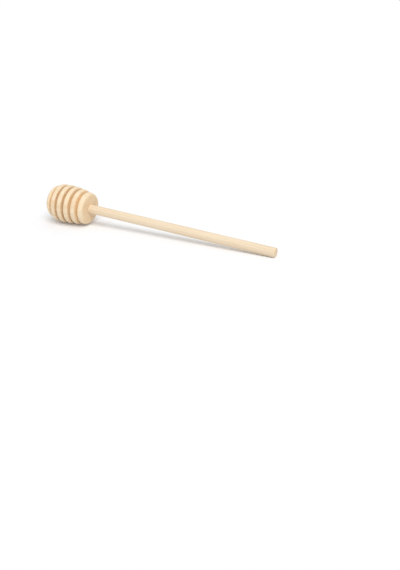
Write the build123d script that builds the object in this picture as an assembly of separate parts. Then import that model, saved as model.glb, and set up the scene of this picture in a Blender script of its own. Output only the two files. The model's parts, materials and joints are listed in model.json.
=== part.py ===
from build123d import *
import math
import os

# A wooden honey dipper lying on a flat surface, in millimetres.
# The head is a turned barrel with ring grooves. The handle is a plain dowel with a turned tenon,
# glued into a blind hole in the head. Each piece is drawn along +X, from the tip of the head at
# x = 0 to the free end of the handle, and the finished dipper is then tilted to the way it lies
# at rest.

# Driving sizes of the head
tip_ring_thickness = 3.9
ring_thickness = 3.4
neck_ring_thickness = 3.9     # the ring that the handle leaves
groove_width = 1.6
groove_count = 5
head_diameter = 25.0
widest_from_tip = 10.6
tip_flat_diameter = 14.0      # flat spot where the head was cut off its blank
neck_face_diameter = 19.8     # barrel line carried on to the face that the handle leaves
core_diameter = 12.5          # solid wood left at the bottom of the grooves
rim_rounding = 1.1
neck_rim_rounding = 1.8       # larger, as it runs over into the face round the handle

# Driving sizes of the handle and its joint
overall_length = 160.0
handle_diameter = 6.0
handle_end_rounding = 0.5
tenon_diameter = 5.0          # leaves a shoulder that covers the rim of the hole
glue_thickness = 0.1          # film all round the tenon
socket_depth = 18.0
drill_point_angle = 118.0
tenon_end_clearance = 0.5     # between the tenon and the full-width bottom of the hole
tenon_chamfer = 0.6

# Sizes that follow
head_radius = head_diameter / 2
tip_flat_radius = tip_flat_diameter / 2
core_radius = core_diameter / 2
handle_radius = handle_diameter / 2
tenon_radius = tenon_diameter / 2
socket_radius = tenon_radius + glue_thickness
ring_pitch = ring_thickness + groove_width
inner_ring_count = groove_count - 1
head_length = (
    tip_ring_thickness
    + groove_count * groove_width
    + inner_ring_count * ring_thickness
    + neck_ring_thickness
)
nose_height = head_radius - tip_flat_radius
flank_run = head_length - widest_from_tip
flank_drop = head_radius - neck_face_diameter / 2
flank_arc_radius = (flank_run**2 + flank_drop**2) / (2 * flank_drop)
flank_centre = head_radius - flank_arc_radius
samples_per_line = 200        # points tried along each line of the outline when it is laid down
rim_steps = 8                 # steps to find where a rim leaves the barrel line


def barrel_radius(distance):
    """Radius of the barrel line at a distance from the tip: elliptical nose, then a shallow flank."""
    run = distance - widest_from_tip
    if run < 0:
        return tip_flat_radius + nose_height * math.sqrt(1 - (run / widest_from_tip) ** 2)
    return flank_centre + math.sqrt(flank_arc_radius**2 - run**2)


def barrel_slope(distance):
    """How fast the barrel line rises at a distance from the tip."""
    run = distance - widest_from_tip
    if run < 0:
        return -nose_height * run / (widest_from_tip * math.sqrt(widest_from_tip**2 - run**2))
    return -run / math.sqrt(flank_arc_radius**2 - run**2)


def barrel_line(first, last):
    """The barrel line between two distances from the tip, in one arc or two."""
    lines = []
    if first < widest_from_tip:
        near = math.degrees(math.acos(first / widest_from_tip - 1))
        far = math.degrees(math.acos(min(last, widest_from_tip) / widest_from_tip - 1))
        lines.append(
            EllipticalCenterArc(
                center=(widest_from_tip, tip_flat_radius),
                x_radius=widest_from_tip,
                y_radius=nose_height,
                start_angle=far,
                arc_size=near - far,
            )
        )
    if last > widest_from_tip:
        near = math.degrees(math.asin(max(first - widest_from_tip, 0) / flank_arc_radius))
        far = math.degrees(math.asin((last - widest_from_tip) / flank_arc_radius))
        lines.append(
            CenterArc(
                center=(widest_from_tip, flank_centre),
                radius=flank_arc_radius,
                start_angle=90 - far,
                arc_size=far - near,
            )
        )
    return lines


def rim(wall, rounding, side):
    """A ring's rounded rim, from where it leaves the barrel line smoothly to the ring's flat wall.

    side is 1 where the ring lies before its wall, seen from the tip, and -1 where it lies after it.
    Gives the rim's line, the distance where it leaves the barrel line and its radius at the wall.
    """
    centre = wall - side * rounding
    leaves = centre
    for _ in range(rim_steps):
        lean = math.atan(side * barrel_slope(leaves))
        leaves = centre - side * rounding * math.sin(lean)
    foot = barrel_radius(leaves) - rounding * math.cos(lean)
    line = CenterArc(
        center=(centre, foot),
        radius=rounding,
        start_angle=0 if side > 0 else 90 - math.degrees(lean),
        arc_size=90 + math.degrees(lean),
    )
    return line, leaves, foot


def head_outline():
    """Half outline of the head: its rings with their rounded rims, and the grooves between them."""
    lines = []
    crest = 0
    for index in range(groove_count):
        near = tip_ring_thickness + index * ring_pitch
        far = near + groove_width
        near_rim, near_leaves, near_foot = rim(near, rim_rounding, 1)
        far_rim, far_leaves, far_foot = rim(far, rim_rounding, -1)
        groove = Polyline((near, near_foot), (near, core_radius), (far, core_radius), (far, far_foot))
        lines += [*barrel_line(crest, near_leaves), near_rim, groove, far_rim]
        crest = far_leaves
    neck_rim, leaves, foot = rim(head_length, neck_rim_rounding, 1)
    ends = Polyline((head_length, foot), (head_length, 0), (0, 0), (0, tip_flat_radius))
    lines += [*barrel_line(crest, leaves), neck_rim, ends]
    return make_face(lines).face()


def socket():
    """The drilled hole: a straight bore from the neck face, with the cone left by the drill's point."""
    drill_point_depth = socket_radius / math.tan(math.radians(drill_point_angle / 2))
    bottom = head_length - socket_depth
    profile = Polyline(
        (head_length, 0),
        (head_length, socket_radius),
        (bottom, socket_radius),
        (bottom - drill_point_depth, 0),
        close=True,
    )
    return revolve(make_face(profile), axis=Axis.X)


def head(outline):
    """The turned head with its socket."""
    return revolve(outline, axis=Axis.X) - socket()


def handle():
    """The dowel: a chamfered tenon inside the head, its shoulder, and a rounded free end."""
    start = head_length - socket_depth + tenon_end_clearance
    profile = make_face(
        Polyline(
            (start, 0),
            (start, tenon_radius - tenon_chamfer),
            (start + tenon_chamfer, tenon_radius),
            (head_length, tenon_radius),
            (head_length, handle_radius),
            (overall_length, handle_radius),
            (overall_length, 0),
            close=True,
        )
    ).face()
    end_rim = profile.vertices().group_by(Axis.X)[-1].sort_by(Axis.Y)[-1]
    return revolve(profile.fillet_2d(handle_end_rounding, [end_rim]), axis=Axis.X)


def socket_glue(dowel):
    """Cured glue filling whatever the tenon leaves free in the socket."""
    return socket() - dowel


def rest_tilt(outline):
    """Angle between the axis and a surface that touches the rings and the handle's rounded end."""
    end_x = overall_length - handle_end_rounding
    end_radius = handle_radius - handle_end_rounding
    tilt = 0
    for line in outline.edges():
        for sample in range(samples_per_line + 1):
            point = line @ (sample / samples_per_line)
            run = end_x - point.X
            rise = point.Y - end_radius
            slack = math.asin(handle_end_rounding / math.hypot(run, rise))
            tilt = max(tilt, math.atan2(rise, run) - slack)
    return tilt


def lying_down(pieces, tilt):
    """Tilts the pieces onto the surface z = 0 and centres them over the origin."""
    lift = (
        handle_end_rounding
        + (overall_length - handle_end_rounding) * math.sin(tilt)
        + (handle_radius - handle_end_rounding) * math.cos(tilt)
    )
    place = Pos(0, 0, lift) * Rot(0, math.degrees(tilt), 0)
    tilted = {name: place * piece for name, piece in pieces.items()}
    middle = Compound(list(tilted.values())).bounding_box().center().X
    return {name: Pos(-middle, 0, 0) * piece for name, piece in tilted.items()}


outline = head_outline()
dowel = handle()
pieces = {
    "head": head(outline),
    "handle": dowel,
    "socket_glue": socket_glue(dowel),
}

os.makedirs("parts", exist_ok=True)
for name, piece in lying_down(pieces, rest_tilt(outline)).items():
    export_step(piece, f"parts/{name}.step")
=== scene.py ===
import json
import math

import bpy
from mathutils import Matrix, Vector


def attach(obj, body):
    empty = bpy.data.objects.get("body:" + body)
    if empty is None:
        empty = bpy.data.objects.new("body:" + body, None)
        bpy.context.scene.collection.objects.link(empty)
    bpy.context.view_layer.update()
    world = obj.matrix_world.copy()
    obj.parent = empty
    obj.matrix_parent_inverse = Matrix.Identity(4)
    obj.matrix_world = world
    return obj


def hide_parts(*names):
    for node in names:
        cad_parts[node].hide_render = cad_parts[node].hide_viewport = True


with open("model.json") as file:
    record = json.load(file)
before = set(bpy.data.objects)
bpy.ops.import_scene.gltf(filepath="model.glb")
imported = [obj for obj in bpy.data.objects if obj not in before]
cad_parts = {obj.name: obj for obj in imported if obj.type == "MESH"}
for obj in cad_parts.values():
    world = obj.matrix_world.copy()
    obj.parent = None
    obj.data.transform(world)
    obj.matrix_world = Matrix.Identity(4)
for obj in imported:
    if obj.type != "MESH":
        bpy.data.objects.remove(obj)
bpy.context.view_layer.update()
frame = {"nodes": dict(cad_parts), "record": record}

# A wooden honey dipper lying on a pale surface, in metres.
# Each piece is drawn along +X from the tip of the head at the origin, and is then laid down on the
# dipper's own axis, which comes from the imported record's mounts.
mounts = {mount["name"]: mount for mount in frame["record"]["mounts"]}
tip_place = Vector(mounts["head_tip"]["pos_m"])
end_place = Vector(mounts["handle_end"]["pos_m"])
overall_length = (end_place - tip_place).length
rest_tilt = math.asin((tip_place.z - end_place.z) / overall_length)
dipper_axis = (end_place - tip_place).normalized()

# Head
tip_ring_thickness = 0.0039
ring_thickness = 0.0034
neck_ring_thickness = 0.0039
groove_width = 0.0016
groove_count = 5
head_radius = 0.0125
widest_from_tip = 0.0106
tip_flat_radius = 0.0070
neck_face_radius = 0.0099
core_radius = 0.00625
rim_rounding = 0.0011
neck_rim_rounding = 0.0018
groove_corner_rounding = 0.0005
centre_mark_radius = 0.0009       # left in the tip by the lathe
centre_mark_depth = 0.0002
ring_pitch = ring_thickness + groove_width
head_length = tip_ring_thickness + neck_ring_thickness + groove_count * ring_pitch - ring_thickness
last_groove_end = head_length - neck_ring_thickness

# Handle and its joint
handle_radius = mounts["grip"]["dims"]["r_mm"] / 1000
handle_end_rounding = 0.0005
tenon_radius = 0.0025
tenon_chamfer = 0.0006
tenon_end_clearance = 0.0005
glue_thickness = 0.0001
socket_depth = 0.018
socket_radius = tenon_radius + glue_thickness
socket_bottom = head_length - socket_depth
drill_point_angle = math.radians(118)

# How finely the pieces are turned
head_sides = 160
handle_sides = 96
barrel_step = 0.0004              # between points along the barrel line
nose_steps = 10
handle_step = 0.0040
rim_steps = 6
corner_steps = 4
neck_rim_steps = 9
handle_end_steps = 5
same_place = 0.000001             # points nearer than this are one point
smooth_angle = math.radians(35)

# Finishes
millimetre = 0.001
wood_bump = 0.00004               # how far the grain and the tool marks stand out
glue_bump = 0.00003
growth_ring_stops = [(0.0, 0.0), (0.45, 0.12), (0.82, 1.0), (0.93, 0.75), (1.0, 0.0)]
pith_wander = 0.005               # how far the growth rings stray along the plank
growth_ripple = 0.7               # as a share of one growth ring
end_grain_edge = (0.45, 0.97)     # how square to the axis a surface is where end grain fades in
ray_fleck_edge = (0.63, 0.74)     # noise levels between which a fleck fades in
ray_fleck_length = 0.0013         # along the fibres
ray_fleck_height = 0.0026         # from the pith outwards
ray_fleck_width = 0.00017
tool_ring_gap = 0.0002            # between the fine rings that a lathe tool leaves
painted_groove_glow = (0.99, 0.75, 0.44, 1)    # painted glow: warm light bouncing between the groove walls, painted into the colour
painted_groove_glow_share = 0.8           # how strong the painted glow is at its fullest
painted_groove_glow_start = 0.0112        # distance from the axis where the painted glow begins
painted_groove_glow_full = 0.0088         # distance from the axis where the painted glow is full
painted_groove_glow_fade = 0.0007         # along the axis, before the first groove and after the last
glue_light = (0.78, 0.66, 0.36, 1)
glue_dark = (0.66, 0.50, 0.24, 1)

# Camera and light
lens_length = 50                  # millimetres, on a 36 mm frame
camera_azimuth = math.radians(26.35)
camera_elevation = math.radians(23.53)
camera_distance = 0.4334
camera_aim = Vector((0.05781, -0.05679, 0))
window_azimuth = math.radians(42)      # where the broad main light comes from, seen from above
window_tilt = math.radians(34)         # away from straight overhead
window_spread = math.radians(36)
window_strength = 1.50
room_light = 0.66
floor_tone = (0.893, 0.905, 0.93, 1)   # a touch cool, against the warm light off the wood
floor_lift = 0.055                 # evens the floor out to white for the camera alone
floor_size = 12


class Wire:
    """One output in a material's nodes. Arithmetic on it adds Math nodes."""

    def __init__(self, tree, socket):
        self.tree = tree
        self.socket = socket

    def node(self, kind, settings, inputs, output=0):
        """Adds a node: its settings first, then its sockets' values or wires."""
        made = self.tree.nodes.new(kind)
        for name, value in settings.items():
            if name == "stops":
                ramp_stops(made.color_ramp, value)
            else:
                setattr(made, name, value)
        for name, value in inputs.items():
            if isinstance(value, Wire):
                self.tree.links.new(value.socket, made.inputs[name])
            else:
                made.inputs[name].default_value = value
        return Wire(self.tree, made.outputs[output])

    def math(self, operation, *values):
        return self.node("ShaderNodeMath", {"operation": operation}, dict(enumerate(values)))

    def __add__(self, other):
        return self.math("ADD", self, other)

    def __radd__(self, other):
        return self.math("ADD", other, self)

    def __sub__(self, other):
        return self.math("SUBTRACT", self, other)

    def __rsub__(self, other):
        return self.math("SUBTRACT", other, self)

    def __mul__(self, other):
        return self.math("MULTIPLY", self, other)

    def __rmul__(self, other):
        return self.math("MULTIPLY", other, self)

    def __truediv__(self, other):
        return self.math("DIVIDE", self, other)

    def __pow__(self, other):
        return self.math("POWER", self, other)

    def __abs__(self):
        return self.math("ABSOLUTE", self)


def ramp_stops(ramp, stops):
    """Sets a ramp's stops: place and grey level."""
    while len(ramp.elements) < len(stops):
        ramp.elements.new(1)
    for element, (place, level) in zip(ramp.elements, stops):
        element.position = place
        element.color = (level, level, level, 1)


def empty_nodes(owner):
    """Clears a material's or world's nodes, and gives a wire to start its new ones from."""
    owner.use_nodes = True
    owner.node_tree.nodes.clear()
    return Wire(owner.node_tree, None)


def show(start, shader, kind="ShaderNodeOutputMaterial"):
    """Wires a finished shader to the output."""
    output = start.tree.nodes.new(kind)
    start.tree.links.new(shader.socket, output.inputs["Surface"])


def vector(x, y, z):
    """Three values as one vector. At least the first is a wire."""
    return x.node("ShaderNodeCombineXYZ", {}, {0: x, 1: y, 2: z})


def noise(place, detail, roughness=0.5, scale=1):
    """Soft noise from 0 to 1, about 0.5 in the middle."""
    inputs = {"Vector": place, "Scale": scale, "Detail": detail, "Roughness": roughness}
    return place.node("ShaderNodeTexNoise", {}, inputs)


def between(value, low, high):
    """0 below low and 1 above high, with an even, smooth change between them."""
    settings = {"interpolation_type": "SMOOTHSTEP"}
    return value.node("ShaderNodeMapRange", settings, {"Value": value, "From Min": low, "From Max": high})


def drawn_out(block, along_scale, across_scale, detail, roughness=0.5):
    """Noise through a block of wood, drawn out along its fibres."""
    along, across, up = block
    place = vector(along * along_scale, across * across_scale, up * across_scale)
    return noise(place, detail, roughness)


def mix_colours(share, first, second):
    """A blend of two colours, by a wire from 0 to 1."""
    settings = {"data_type": "RGBA"}
    return share.node("ShaderNodeMix", settings, {0: share, 6: first, 7: second}, output=2)


def on_the_dipper(start):
    """Place along the dipper's own axis from the tip, and across it, in millimetres."""
    place = start.node("ShaderNodeTexCoord", {}, {}, output="Object")
    inputs = {
        "Vector": place,
        "Location": tip_place,
        "Rotation": (0, rest_tilt, 0),
        "Scale": (millimetre,) * 3,
    }
    return place.node("ShaderNodeMapping", {"vector_type": "TEXTURE"}, inputs)


def parts_of(place):
    """A vector's three parts."""
    return [place.node("ShaderNodeSeparateXYZ", {}, {0: place}, output=axis) for axis in "XYZ"]


def finish_surface(start, colour, roughness, height, bump_depth):
    """Wires the colour, the roughness and the bump into the material's surface."""
    bump = start.node(
        "ShaderNodeBump", {}, {"Strength": 1, "Distance": bump_depth, "Height": height}, output="Normal"
    )
    surface = start.node(
        "ShaderNodeBsdfPrincipled", {}, {"Base Color": colour, "Roughness": roughness, "Normal": bump}
    )
    show(start, surface)


def painted_glow_in_grooves(along, from_axis):
    """How much painted glow of bounced light the wood gets by its place: from 0 on the rings to the full
    share deep in a groove.
    """
    first = tip_ring_thickness / millimetre
    last = last_groove_end / millimetre
    fade = painted_groove_glow_fade / millimetre
    grooved = between(along, first - fade, first) - between(along, last, last + fade)
    outside = between(from_axis, painted_groove_glow_full / millimetre, painted_groove_glow_start / millimetre)
    return (1 - outside) * grooved * painted_groove_glow_share


def pale_wood(name, pale, tan, pith, growth_gap, shift, turned):
    """Pale close-grained hardwood. Growth rings, rays and fibres run through the solid block.

    pith is where the tree's middle lay across the piece, and growth_gap is from one ring to the
    next, in millimetres. shift takes the pattern from another stretch of the plank. turned is true
    where a lathe tool has cut grooves and left fine rings, and false on a dowel that was sanded
    along its length.
    """
    material = bpy.data.materials.new(name)
    start = empty_nodes(material)
    place = on_the_dipper(start)
    along, across, up = parts_of(place)
    shifted = along + shift
    block = (shifted, across, up)

    wander = drawn_out(block, along_scale=0.018, across_scale=0.02, detail=2)
    side = across - pith[0] + (wander - 0.5) * (pith_wander / millimetre)
    rise = up - pith[1]
    from_pith = (side * side + rise * rise) ** 0.5
    round_pith = side.math("ARCTAN2", side, rise) * math.hypot(*pith)

    ripple = drawn_out(block, along_scale=0.03, across_scale=0.35, detail=2)
    growth = start.math("FRACT", from_pith / growth_gap + ripple * growth_ripple)
    late_wood = growth.node("ShaderNodeValToRGB", {"stops": growth_ring_stops}, {"Fac": growth})
    fibres = drawn_out(block, along_scale=0.07, across_scale=2.6, detail=3, roughness=0.6)
    hairs = drawn_out(block, along_scale=0.30, across_scale=9, detail=2)
    tone = drawn_out(block, along_scale=0.025, across_scale=0.16, detail=2)
    ray_place = vector(
        shifted / (ray_fleck_length / millimetre),
        from_pith / (ray_fleck_height / millimetre),
        round_pith / (ray_fleck_width / millimetre),
    )
    flecks = between(noise(ray_place, 1), *ray_fleck_edge)

    normal = start.node("ShaderNodeNewGeometry", {}, {}, output="Normal")
    facing = start.node(
        "ShaderNodeVectorMath", {"operation": "DOT_PRODUCT"}, {0: normal, 1: dipper_axis}, output="Value"
    )
    end_grain = between(abs(facing), *end_grain_edge)

    depth = (
        0.16
        + late_wood * 0.20
        + (fibres - 0.5) * 0.55
        + (hairs - 0.5) * 0.16
        + flecks * 0.26
        + (tone - 0.5) * 0.50
        + end_grain * 0.26
    )
    depth = depth.node("ShaderNodeClamp", {}, {"Value": depth})
    colour = mix_colours(depth, (*pale, 1), (*tan, 1))

    height = fibres * 0.35 + hairs * (0.3 + end_grain * 0.5)
    roughness = 0.56 + (fibres - 0.5) * 0.16 + end_grain * 0.14

    if turned:
        from_axis = (across * across + up * up) ** 0.5
        rings_per_millimetre = millimetre / tool_ring_gap
        ring_place = vector(along * rings_per_millimetre, from_axis * rings_per_millimetre, 0.0)
        height = height + noise(ring_place, 3, 0.6) * 0.5
        # painted glow: warm light bouncing in the grooves, mixed into the colour
        colour = mix_colours(painted_glow_in_grooves(along, from_axis), colour, painted_groove_glow)
    finish_surface(start, colour, roughness, height, wood_bump)
    return material


def cured_glue(name):
    """Dried wood glue, pale amber, with a little unevenness."""
    material = bpy.data.materials.new(name)
    start = empty_nodes(material)
    place = on_the_dipper(start)
    cloud = noise(place, 3, 0.5, 0.9)
    colour = mix_colours(cloud, glue_light, glue_dark)
    finish_surface(start, colour, 0.30 + cloud * 0.15, cloud, glue_bump)
    return material


def seen_directly(start):
    """1 for what the camera sees, directly or in a shiny or clear surface, and 0 for light itself."""
    camera, shiny, clear = [
        start.node("ShaderNodeLightPath", {}, {}, output=ray)
        for ray in ("Is Camera Ray", "Is Glossy Ray", "Is Transmission Ray")
    ]
    return start.math("MAXIMUM", start.math("MAXIMUM", camera, shiny), clear)


def white_floor(name):
    """A plain matt floor that shows white, and keeps the shadow."""
    material = bpy.data.materials.new(name)
    start = empty_nodes(material)
    matt = start.node("ShaderNodeBsdfDiffuse", {}, {"Color": floor_tone})
    glow = start.node("ShaderNodeEmission", {}, {"Strength": floor_lift})
    lifted = start.node("ShaderNodeAddShader", {}, {0: matt, 1: glow})
    shown = start.node("ShaderNodeMixShader", {}, {0: seen_directly(start), 1: matt, 2: lifted})
    show(start, shown)
    return material


def nothing_selected():
    """Leaves edit mode and deselects everything, so that the next step acts on its own piece alone."""
    if bpy.context.object and bpy.context.object.mode != "OBJECT":
        bpy.ops.object.mode_set(mode="OBJECT")
    bpy.ops.object.select_all(action="DESELECT")


def draw_outline(name, points):
    """Draws the half outline of a turned piece as a line of points: distance from the tip, and radius."""
    nothing_selected()
    bpy.ops.mesh.primitive_plane_add(size=head_radius, location=(0, 0, 0))
    piece = bpy.context.object
    piece.name = name
    bpy.ops.object.mode_set(mode="EDIT")
    bpy.ops.mesh.select_all(action="SELECT")
    bpy.ops.mesh.merge(type="CENTER")
    here = Vector((points[0][0], 0, points[0][1]))
    bpy.ops.transform.translate(value=here)
    for distance, radius in points[1:]:
        there = Vector((distance, 0, radius))
        bpy.ops.mesh.extrude_region_move(TRANSFORM_OT_translate={"value": there - here})
        here = there
    return piece


def round_corner(piece, points, corner, rounding, steps):
    """Rounds one corner of the outline to a radius, whatever angle its two lines meet at."""
    index = points.index(corner)
    before, here, after = (Vector(points[place]) for place in (index - 1, index, index + 1))
    turn = (here - before).angle(after - here)
    bpy.ops.mesh.select_all(action="DESELECT")
    bpy.ops.object.mode_set(mode="OBJECT")
    for vertex in piece.data.vertices:
        vertex.select = (vertex.co.xz - here).length < same_place
    bpy.ops.object.mode_set(mode="EDIT")
    bpy.ops.mesh.bevel(
        affect="VERTICES",
        offset=rounding * math.tan(turn / 2),
        segments=steps,
        clamp_overlap=True,
    )


def spin_outline(piece, sides):
    """Spins the half outline about the axis into a closed solid."""
    bpy.ops.mesh.select_all(action="SELECT")
    bpy.ops.mesh.spin(steps=sides, angle=math.tau, center=(0, 0, 0), axis=(1, 0, 0))
    bpy.ops.mesh.select_all(action="SELECT")
    bpy.ops.mesh.remove_doubles(threshold=same_place)
    bpy.ops.mesh.normals_make_consistent(inside=False)
    bpy.ops.object.mode_set(mode="OBJECT")


def lay_down(piece):
    """Puts a finished piece where it lies at rest, with its place in its mesh."""
    nothing_selected()
    piece.select_set(True)
    bpy.context.view_layer.objects.active = piece
    piece.rotation_euler = (0, rest_tilt, 0)
    piece.location = tip_place
    bpy.ops.object.transform_apply(location=True, rotation=True, scale=True)
    bpy.ops.object.shade_smooth_by_angle(angle=smooth_angle)


def barrel_radius(distance):
    """The barrel line: an elliptical nose up to the widest place, then a long shallow arc."""
    if distance <= widest_from_tip:
        share = (widest_from_tip - distance) / widest_from_tip
        return tip_flat_radius + (head_radius - tip_flat_radius) * math.sqrt(1 - share * share)
    run = head_length - widest_from_tip
    drop = head_radius - neck_face_radius
    arc_radius = (run * run + drop * drop) / (2 * drop)
    return head_radius - arc_radius + math.sqrt(arc_radius**2 - (distance - widest_from_tip) ** 2)


def barrel_slope(distance):
    """The angle between the barrel line and the axis: above zero on the nose, below it on the flank."""
    rise = barrel_radius(distance + same_place) - barrel_radius(distance - same_place)
    return math.atan2(rise, 2 * same_place)


def rim_reach(distance, rounding, side):
    """How far a rim's rounding runs along the barrel line. side is 1 before a groove and -1 after one."""
    return rounding * math.tan((math.pi / 2 + side * barrel_slope(distance)) / 2)


def along_barrel(first, last):
    """Points of the barrel line inside one ring, clear of its rims' roundings."""
    if last - first < barrel_step:
        return []
    steps = round((last - first) / barrel_step)
    places = [first + (last - first) * step / (steps + 1) for step in range(1, steps + 1)]
    return [(place, barrel_radius(place)) for place in places]


def nose_line():
    """Points of the barrel line from the tip's flat spot to the first rim, closer where it turns most."""
    length = tip_ring_thickness - rim_reach(tip_ring_thickness, rim_rounding, 1)
    places = [length * (step / (nose_steps + 1)) ** 2 for step in range(1, nose_steps + 1)]
    return [(place, barrel_radius(place)) for place in places]


def turn_head():
    """The barrel with its ring grooves, and the drilled hole for the handle."""
    rims = []
    corners = []
    points = [(centre_mark_depth, 0), (0, centre_mark_radius), (0, tip_flat_radius)]
    points += nose_line()
    for index in range(groove_count):
        near = tip_ring_thickness + index * ring_pitch
        far = near + groove_width
        is_last = index == groove_count - 1
        ring_end = head_length if is_last else near + ring_pitch
        rims += [(near, barrel_radius(near)), (far, barrel_radius(far))]
        corners += [(near, core_radius), (far, core_radius)]
        points += [rims[-2], corners[-2], corners[-1], rims[-1]]
        end_rounding = neck_rim_rounding if is_last else rim_rounding
        first = far + rim_reach(far, rim_rounding, -1)
        last = ring_end - rim_reach(ring_end - same_place, end_rounding, 1)
        points += along_barrel(first, last)
    neck_rim = (head_length, neck_face_radius)
    drill_point_depth = socket_radius / math.tan(drill_point_angle / 2)
    points += [
        neck_rim,
        (head_length, socket_radius),
        (socket_bottom, socket_radius),
        (socket_bottom - drill_point_depth, 0),
    ]
    head = draw_outline("turned_head", points)
    for corner in rims:
        round_corner(head, points, corner, rim_rounding, rim_steps)
    for corner in corners:
        round_corner(head, points, corner, groove_corner_rounding, corner_steps)
    round_corner(head, points, neck_rim, neck_rim_rounding, neck_rim_steps)
    spin_outline(head, head_sides)
    lay_down(head)
    return head


def turn_handle():
    """The dowel: a chamfered tenon inside the head, its shoulder, and a rounded free end."""
    start = socket_bottom + tenon_end_clearance
    shaft_steps = round((overall_length - head_length) / handle_step)
    shaft_places = [
        head_length + (overall_length - head_length) * step / shaft_steps for step in range(shaft_steps)
    ]
    end_rim = (overall_length, handle_radius)
    points = [
        (start, 0),
        (start, tenon_radius - tenon_chamfer),
        (start + tenon_chamfer, tenon_radius),
        (head_length, tenon_radius),
        *[(place, handle_radius) for place in shaft_places],
        end_rim,
        (overall_length, 0),
    ]
    handle = draw_outline("dowel_handle", points)
    round_corner(handle, points, end_rim, handle_end_rounding, handle_end_steps)
    spin_outline(handle, handle_sides)
    lay_down(handle)
    return handle


def set_camera():
    """The photograph's viewpoint."""
    bpy.ops.object.camera_add()
    camera = bpy.context.object
    camera.name = "photo_camera"
    camera.data.lens = lens_length
    back = Vector((
        math.sin(camera_azimuth) * math.cos(camera_elevation),
        -math.cos(camera_azimuth) * math.cos(camera_elevation),
        math.sin(camera_elevation),
    ))
    camera.location = camera_aim + back * camera_distance
    camera.rotation_euler = (math.pi / 2 - camera_elevation, 0, camera_azimuth)
    bpy.context.scene.camera = camera


def set_light():
    """One broad main light, an even room light, and a white background."""
    bpy.ops.object.light_add(type="SUN")
    window = bpy.context.object
    window.name = "broad_window"
    window.data.energy = window_strength
    window.data.angle = window_spread
    window.rotation_euler = (window_tilt, 0, window_azimuth)

    world = bpy.data.worlds.new("plain_room")
    start = empty_nodes(world)
    lit = start.node("ShaderNodeBackground", {}, {"Color": (1, 1, 1, 1), "Strength": room_light})
    white = start.node("ShaderNodeBackground", {}, {"Color": (1, 1, 1, 1), "Strength": 1})
    shown = start.node("ShaderNodeMixShader", {}, {0: seen_directly(start), 1: lit, 2: white})
    show(start, shown, "ShaderNodeOutputWorld")
    bpy.context.scene.world = world


def lay_floor():
    """The surface that the dipper lies on."""
    nothing_selected()
    bpy.ops.mesh.primitive_plane_add(size=floor_size, location=(0, 0, 0))
    floor = bpy.context.object
    floor.name = "plain_floor"
    floor.data.materials.append(white_floor("matt_white"))


bpy.context.scene.view_settings.view_transform = "Standard"
nothing_selected()
set_camera()
set_light()
lay_floor()

head = turn_head()
head.data.materials.append(
    pale_wood(
        "head_beech",
        pale=(0.91, 0.76, 0.55),
        tan=(0.69, 0.44, 0.215),
        pith=(34, -22),
        growth_gap=2.2,
        shift=0,
        turned=True,
    )
)
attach(head, "root")
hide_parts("head")

handle = turn_handle()
handle.data.materials.append(
    pale_wood(
        "handle_beech",
        pale=(0.87, 0.735, 0.55),
        tan=(0.68, 0.46, 0.25),
        pith=(-18, -40),
        growth_gap=1.7,
        shift=300,
        turned=False,
    )
)
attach(handle, "root")
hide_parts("handle")

glue = frame["nodes"]["socket_glue"]
glue.material_slots[0].material = cured_glue("dried_glue")
